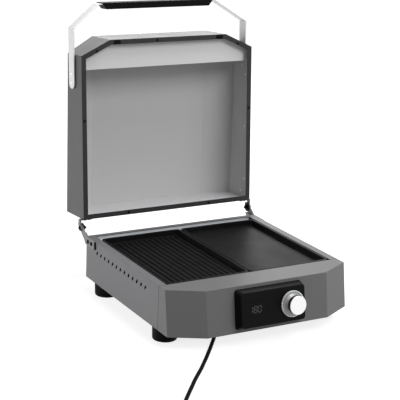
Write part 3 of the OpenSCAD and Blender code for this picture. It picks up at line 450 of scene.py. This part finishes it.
def round_off(points, passes):
    """Cuts corners so that the route bends smoothly; the ends stay."""
    for _ in range(passes):
        out = [points[0]]
        for a, b in zip(points, points[1:]):
            out += [a.lerp(b, 0.25), a.lerp(b, 0.75)]
        points = out + [points[-1]]
    return points


def length_of(points):
    return sum((b - a).length for a, b in zip(points, points[1:]))


def tube_mesh(name, points, radius, sides, material):
    """A closed tube swept along points, its sides kept level so that they never twist."""
    verts, faces = [], []
    last = len(points) - 1
    for i, p in enumerate(points):
        way = (points[min(i + 1, last)] - points[max(i - 1, 0)]).normalized()
        side = Vector((0, 0, 1)).cross(way).normalized()
        up = way.cross(side)
        for k in range(sides):
            a = 2 * math.pi * k / sides
            verts.append(p + radius * (math.cos(a) * side + math.sin(a) * up))
    for i in range(last):
        for k in range(sides):
            a, b = i * sides + k, i * sides + (k + 1) % sides
            faces.append((a, b, b + sides, a + sides))
    faces.append(tuple(range(sides - 1, -1, -1)))
    faces.append(tuple(last * sides + k for k in range(sides)))
    made = mesh_piece(name, verts, faces, material, "root")
    for face in made.data.polygons:
        face.use_smooth = len(face.vertices) == 4
    return made


coil_end = wind(COIL_TURNS)
tail_way = turn_dir(COIL_START + 360 * COIL_TURNS + 90)
tail_points = []
for s in (0.3, 0.6, 0.85, 1.0):
    p = coil_end + s * TAIL * tail_way
    p.z = coil_end.z + (PLUG_R - coil_end.z) * ease(s / 0.85)
    tail_points.append(p)
turns = [wind(i / COIL_STEPS) for i in range(round(COIL_TURNS * COIL_STEPS) + 1)]
cord_path = round_off([Vector(p) for p in LEAD], 2) + turns + tail_points
cord = tube_mesh("mains_cord", cord_path, CORD_D / 2, 16, sheath_rubber)
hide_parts("cord_lead", "cord_coil")


# Repeated small parts, made with Geometry Nodes

def copies_tree(name, sizes, material, spread):
    """A tree with named size inputs; spread(tree, given) returns the copies that it makes solid."""
    tree = bpy.data.node_groups.new(name, "GeometryNodeTree")
    tree.interface.new_socket("Geometry", in_out="INPUT", socket_type="NodeSocketGeometry")
    for label, value in sizes.items():
        kind = "NodeSocketInt" if isinstance(value, int) else "NodeSocketFloat"
        tree.interface.new_socket(label, in_out="INPUT", socket_type=kind)
    tree.interface.new_socket("Geometry", in_out="OUTPUT", socket_type="NodeSocketGeometry")
    copies = spread(tree, add(tree, "NodeGroupInput").outputs)
    real = add(tree, "GeometryNodeRealizeInstances", {0: copies})
    coated = add(tree, "GeometryNodeSetMaterial", {"Geometry": real.outputs[0], "Material": material})
    add(tree, "NodeGroupOutput", {0: coated.outputs[0]})
    return tree


def plain_mesh(name, tree, sizes, points=None):
    """Runs the tree on a mesh of points and keeps its result as one plain mesh."""
    holder = bpy.data.objects.new(name, points or bpy.data.meshes.new(name + "_points"))
    bpy.context.collection.objects.link(holder)
    runner = holder.modifiers.new("copies", "NODES")
    runner.node_group = tree
    for item in tree.interface.items_tree:
        if item.in_out == "INPUT" and item.name in sizes:
            runner[item.identifier] = sizes[item.name]
    bpy.context.view_layer.update()
    mesh = bpy.data.meshes.new_from_object(holder.evaluated_get(bpy.context.evaluated_depsgraph_get()))
    holder.modifiers.remove(runner)
    holder.data = mesh
    return holder


def pattern(name, verts, faces):
    """The closed part, in millimetres, that the copies are made from."""
    return bpy.data.objects.new(name, closed_mesh(name, verts, faces))


def ring_of(name, count, radius, part, at, out, material, body):
    """Copies round an axis through at along out, their X pointing away from it; millimetres."""
    def spread(tree, given):
        circle = add(tree, "GeometryNodeMeshCircle", {"Vertices": given["Count"], "Radius": given["Radius"]})
        index = add(tree, "GeometryNodeInputIndex")
        step = add(tree, "ShaderNodeMath", {0: 2 * math.pi, 1: given["Count"]}, operation="DIVIDE")
        turn = add(tree, "ShaderNodeMath", {0: index.outputs[0], 1: step.outputs[0]}, operation="MULTIPLY")
        angle = add(tree, "ShaderNodeCombineXYZ", {2: turn.outputs[0]})
        source = add(tree, "GeometryNodeObjectInfo", {"Object": part})
        return add(tree, "GeometryNodeInstanceOnPoints", {
            "Points": circle.outputs[0], "Instance": source.outputs["Geometry"],
            "Rotation": angle.outputs[0]}).outputs[0]

    sizes = {"Count": count, "Radius": radius * MM}
    made = plain_mesh(name, copies_tree(name, sizes, material, spread), sizes)
    tilt = Vector((0, 0, 1)).rotation_difference(out).to_matrix().to_4x4()
    made.data.transform(Matrix.Translation(Vector(at) * MM) @ tilt)
    return place_on(made, body)


def fasteners(name, places, part, material, body):
    """Copies at (point, outward direction) places, their Z pointing outwards; millimetres."""
    points = bpy.data.meshes.new(name + "_points")
    points.from_pydata([Vector(at) * MM for at, _ in places], [], [])
    aim = points.attributes.new("aim", "FLOAT_VECTOR", "POINT")
    for spot, (_, out) in zip(aim.data, places):
        spot.vector = Vector((0, 0, 1)).rotation_difference(Vector(out)).to_euler()

    def spread(tree, given):
        aimed = add(tree, "GeometryNodeInputNamedAttribute", {"Name": "aim"}, data_type="FLOAT_VECTOR")
        source = add(tree, "GeometryNodeObjectInfo", {"Object": part})
        return add(tree, "GeometryNodeInstanceOnPoints", {
            "Points": given["Geometry"], "Instance": source.outputs["Geometry"],
            "Rotation": aimed.outputs["Attribute"], "Scale": given["Scale"]}).outputs[0]

    sizes = {"Scale": 1.0}
    return place_on(plain_mesh(name, copies_tree(name, sizes, material, spread), sizes, points), body)


def bar_pattern(name, length, width, height):
    """A bar along X, flat underneath, its top narrower than its foot."""
    low_edge = [(x * length / 2, y * width / 2, 0) for x, y in ((-1, -1), (1, -1), (1, 1), (-1, 1))]
    top_edge = [(x * 0.85, y * 0.5, height) for x, y, _ in low_edge]
    faces = [(3, 2, 1, 0), (4, 5, 6, 7), (0, 1, 5, 4), (1, 2, 6, 5), (2, 3, 7, 6), (3, 0, 4, 7)]
    return pattern(name, low_edge + top_edge, faces)


def socket_screw(name, head_r, head_h, shank_r, shank_l):
    """Button head with a hexagon socket, head on Z = 0 and shank below it."""
    sides = 24

    def hexagon(across, a):
        return across / 2 / math.cos((a + math.pi / 6) % (math.pi / 3) - math.pi / 6)

    rings = [
        (shank_r, -shank_l), (shank_r, 0), (head_r, 0), (head_r, head_h * 0.2),
        (head_r * 0.88, head_h * 0.62), (head_r * 0.66, head_h * 0.93), (head_r * 0.54, head_h),
        (None, head_h), (None, head_h * 0.35),
    ]
    verts = []
    for r, z in rings:
        for k in range(sides):
            a = 2 * math.pi * k / sides
            reach = hexagon(head_r * 0.78, a) if r is None else r
            verts.append((reach * math.cos(a), reach * math.sin(a), z))
    faces = []
    for i in range(len(rings) - 1):
        for k in range(sides):
            a, b = i * sides + k, i * sides + (k + 1) % sides
            faces.append((a, b, b + sides, a + sides))
    faces.append(tuple(reversed(range(sides))))
    faces.append(tuple((len(rings) - 1) * sides + k for k in range(sides)))
    return pattern(name, verts, faces)


# Score marks round the knob's skirt: bars just inside the notches of its edge, painted near-white as glints
SKIRT_R = 32
SKIRT_OUT = 5.1
MARKS = 40
MARK_L = 2.6
MARK_W = 3.2
MARK_H = 0.5
MARKS_IN = 1.6
ring_of("skirt_score_marks", MARKS, SKIRT_R - MARKS_IN, bar_pattern("score_mark", MARK_L, MARK_W, MARK_H),
        front_point(KNOB_X, FRONT_MID, PANEL_OUT + SKIRT_OUT), FRONT_OUT, glint_score, "knob_top")

# Screws that hold the hinge arms: black button heads with a hexagon socket
ARM_HEAD_H = 2.4
ARM_HEAD_R = 5.6
ARM_SHANK_R = 2.5
ARM_SHANK_L = 5
ARM_HOLE_IN = 4.5
arm_face = high("arm_screws").x - ARM_HEAD_H
arm_z = (low("arm_screws").z + high("arm_screws").z) / 2
arm_ys = [low("arm_screws").y + ARM_HOLE_IN, high("arm_screws").y - ARM_HOLE_IN]
arm_places = [((s * arm_face, y, arm_z), (s, 0, 0)) for s in (-1, 1) for y in arm_ys]
arm_screws = fasteners("hinge_arm_screws", arm_places,
                       socket_screw("arm_screw", ARM_HEAD_R, ARM_HEAD_H, ARM_SHANK_R, ARM_SHANK_L),
                       black_oxide, "root")
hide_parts("arm_screws")

# Painted shade: black blocks in front of the hinge arms' front ends, standing in for the shade at their ends
SHADE_BLOCK_L = 5
SHADE_BLOCK_H = 19
SHADE_BLOCK_CORNER = 0.9
SHADE_BLOCK_PROUD = 0.4
# Air left beside a neighbour
TOUCH = 0.05
shade_block_rear = low("hinge_arm_left").y - TOUCH
shade_block_front = shade_block_rear - SHADE_BLOCK_L
shade_block_in = high("base_shell").x + 2 * TOUCH
shade_block_out = arm_face + SHADE_BLOCK_PROUD
shade_block_outline = [
    (shade_block_in, shade_block_front + SHADE_BLOCK_CORNER), (shade_block_in, shade_block_rear), (shade_block_out, shade_block_rear),
    (shade_block_out, shade_block_front + SHADE_BLOCK_CORNER), (shade_block_out - SHADE_BLOCK_CORNER, shade_block_front), (shade_block_in + SHADE_BLOCK_CORNER, shade_block_front),
]
for name, s in (("arm_end_cap_left", -1), ("arm_end_cap_right", 1)):
    n = len(shade_block_outline)
    verts = [(s * x, y, z) for z in (arm_z - SHADE_BLOCK_H / 2, arm_z + SHADE_BLOCK_H / 2) for x, y in shade_block_outline]
    faces = [tuple(range(n)), tuple(n + k for k in range(n))]
    faces += [(k, (k + 1) % n, n + (k + 1) % n, n + k) for k in range(n)]
    mesh_piece(name, verts, faces, black_oxide, "root")

# Painted shade: dark plain sheets behind the rear air slots, standing in for the shade inside the base
REAR_SHEET = 1.5
SHADE_SHEET_THICK = 0.75
SHADE_SHEET_SIDES = (147, 213)
SHADE_SHEET_ENDS = (BASE_BOTTOM + 19, BASE_BOTTOM + 74)
shade_sheet_rear = high("base_shell").y - REAR_SHEET - TOUCH
for name, s in (("dust_screen_left", -1), ("dust_screen_right", 1)):
    verts = [(s * x, y, z) for x in SHADE_SHEET_SIDES for y in (shade_sheet_rear - SHADE_SHEET_THICK, shade_sheet_rear)
             for z in SHADE_SHEET_ENDS]
    faces = [(0, 1, 3, 2), (4, 6, 7, 5), (0, 4, 5, 1), (2, 3, 7, 6), (0, 2, 6, 4), (1, 5, 7, 3)]
    mesh_piece(name, verts, faces, black_oxide, "root")

# Grip ribs moulded round the plug's body
RIBS = 18
RIB_L = 12
RIB_W = 2.4
RIB_H = 0.7
RIB_SUNK = 0.55
RIBS_FROM_TAIL = 44
rib_bar = bar_pattern("grip_rib", RIB_L, RIB_W, RIB_H)
rib_bar.data.transform(Matrix.Rotation(math.radians(90), 4, "Y"))
ribs_at = tail_points[-1] + RIBS_FROM_TAIL * tail_way
ribs = ring_of("plug_grip_ribs", RIBS, PLUG_R - RIB_SUNK, rib_bar, ribs_at, tail_way, foot_rubber, "root")
length_of(cord_path) * MM


# Display: three seven-segment figures, drawn on the window's face because the window hides its inside

FIGURES = {"1": "bc", "8": "abcdefg", "0": "abcdef"}
DIGIT_W = 8
DIGIT_H = 15
DIGIT_STROKE = 1.7
DIGIT_STEP = 12
DIGIT_SLANT = 0.12
DIGIT_GAP = 0.9
DIGIT_TIP = 0.7
DIGIT_OUT = (0.02, 0.1)
SEGMENTS = {
    "a": ((-1, 1), (1, 1)), "b": ((1, 1), (1, 0)), "c": ((1, 0), (1, -1)), "d": ((-1, -1), (1, -1)),
    "e": ((-1, 0), (-1, -1)), "f": ((-1, 1), (-1, 0)), "g": ((-1, 0), (1, 0)),
}


def digits(text):
    # Segments that glow so faintly that they look grey: a plain matt colour
    unlit, _, _ = new_material("unlit_segments", "#5c5c5e", Roughness=0.5, Specular_IOR_Level=0.1)
    verts, faces = [], []
    for place, figure in enumerate(text):
        centre = DISPLAY_X + (place - (len(text) - 1) / 2) * DIGIT_STEP
        for letter in FIGURES[figure]:
            a, b = [Vector((x * DIGIT_W / 2, z * DIGIT_H / 2)) for x, z in SEGMENTS[letter]]
            along = (b - a).normalized()
            side = Vector((-along.y, along.x)) * DIGIT_STROKE / 2
            a += along * DIGIT_GAP
            b -= along * DIGIT_GAP
            tip = along * DIGIT_TIP
            outline = [a, a + tip + side, b - tip + side, b, b - tip - side, a + tip - side]
            first, n = len(verts), len(outline)
            for out in DIGIT_OUT:
                verts += [front_point(centre + p.x + p.y * DIGIT_SLANT, FRONT_MID + p.y, PANEL_OUT + out)
                          for p in outline]
            faces.append(tuple(first + i for i in range(n)))
            faces.append(tuple(first + n + i for i in reversed(range(n))))
            for i in range(n):
                j = (i + 1) % n
                faces.append((first + i, first + n + i, first + n + j, first + j))
    mesh_piece("display_digits", verts, faces, unlit, "root")


digits("180")


# Studio: white floor and background, plain soft lights

AMBIENT = 0.145
FLOOR_TONE = 0.42
FLOOR_HALF_M = 12
FLOOR_DROP_M = 0.0003
# The floor's glow near the object and where it is full
SHADE_LIFT = 0.45
GLOW_FROM_M = 0.5
GLOW_FULL_M = 2.0


def background_seen(tree):
    """1 for camera, glossy and transmission rays, 0 for the rays that light the object."""
    path = add(tree, "ShaderNodeLightPath")
    seen = path.outputs["Is Camera Ray"]
    for kind in ("Is Glossy Ray", "Is Transmission Ray"):
        seen = add(tree, "ShaderNodeMath", {0: seen, 1: path.outputs[kind]}, operation="MAXIMUM").outputs[0]
    return seen


def studio():
    mesh = bpy.data.meshes.new("floor")
    h = FLOOR_HALF_M
    mesh.from_pydata([(-h, -h, 0), (h, -h, 0), (h, h, 0), (-h, h, 0)], [], [(0, 1, 2, 3)])
    floor = bpy.data.objects.new("floor", mesh)
    floor.location.z = -FLOOR_DROP_M
    bpy.context.collection.objects.link(floor)
    made = bpy.data.materials.new("white_floor")
    made.use_nodes = True
    tree = made.node_tree
    tree.nodes.clear()
    # Near the object the floor's own shade shows; further out it brightens into the background
    place = add(tree, "ShaderNodeTexCoord").outputs["Object"]
    reach = add(tree, "ShaderNodeVectorMath", {0: place}, operation="LENGTH")
    far = add(tree, "ShaderNodeMapRange", {
        "Value": reach.outputs["Value"], "From Min": GLOW_FROM_M, "From Max": GLOW_FULL_M,
        "To Min": 1 - FLOOR_TONE * SHADE_LIFT, "To Max": 1.0})
    glow = add(tree, "ShaderNodeMath", {0: background_seen(tree), 1: far.outputs[0]}, operation="MULTIPLY")
    light = add(tree, "ShaderNodeEmission", {"Color": (1, 1, 1, 1), "Strength": glow.outputs[0]})
    plain = add(tree, "ShaderNodeBsdfDiffuse", {"Color": (FLOOR_TONE, FLOOR_TONE, FLOOR_TONE, 1)})
    both = add(tree, "ShaderNodeAddShader", {0: light.outputs[0], 1: plain.outputs[0]})
    add(tree, "ShaderNodeOutputMaterial", {"Surface": both.outputs[0]})
    mesh.materials.append(made)

    world = bpy.data.worlds.new("studio")
    bpy.context.scene.world = world
    world.use_nodes = True
    tree = world.node_tree
    tree.nodes.clear()
    strength = add(tree, "ShaderNodeMapRange", {"Value": background_seen(tree), "To Min": AMBIENT,
                                                "To Max": 1.0})
    back = add(tree, "ShaderNodeBackground", {"Color": (1, 1, 1, 1), "Strength": strength.outputs[0]})
    add(tree, "ShaderNodeOutputWorld", {"Surface": back.outputs[0]})


def area_light(name, at, towards, size, watts):
    lamp = bpy.data.lights.new(name, "AREA")
    lamp.energy = watts
    lamp.size = size
    made = bpy.data.objects.new(name, lamp)
    bpy.context.collection.objects.link(made)
    made.location = at
    made.rotation_euler = (Vector(towards) - Vector(at)).to_track_quat("-Z", "Y").to_euler()


studio()
area_light("top_light", (0.6, 0.1, 2.6), (0, 0, 0.3), 2.0, 54)
area_light("front_right_light", (1.7, -2.4, 1.1), (0, 0, 0.35), 1.8, 8)
area_light("front_light", (0.7, -2.3, 2.5), (0, 0, 0.35), 1.5, 46)
area_light("left_light", (-2.4, 0.7, 0.4), (0, 0, 0.15), 1.0, 37)
area_light("rear_light", (1.0, 2.6, 1.5), (0, 0, 0.3), 1.6, 22)

bpy.context.scene.view_settings.view_transform = "Standard"
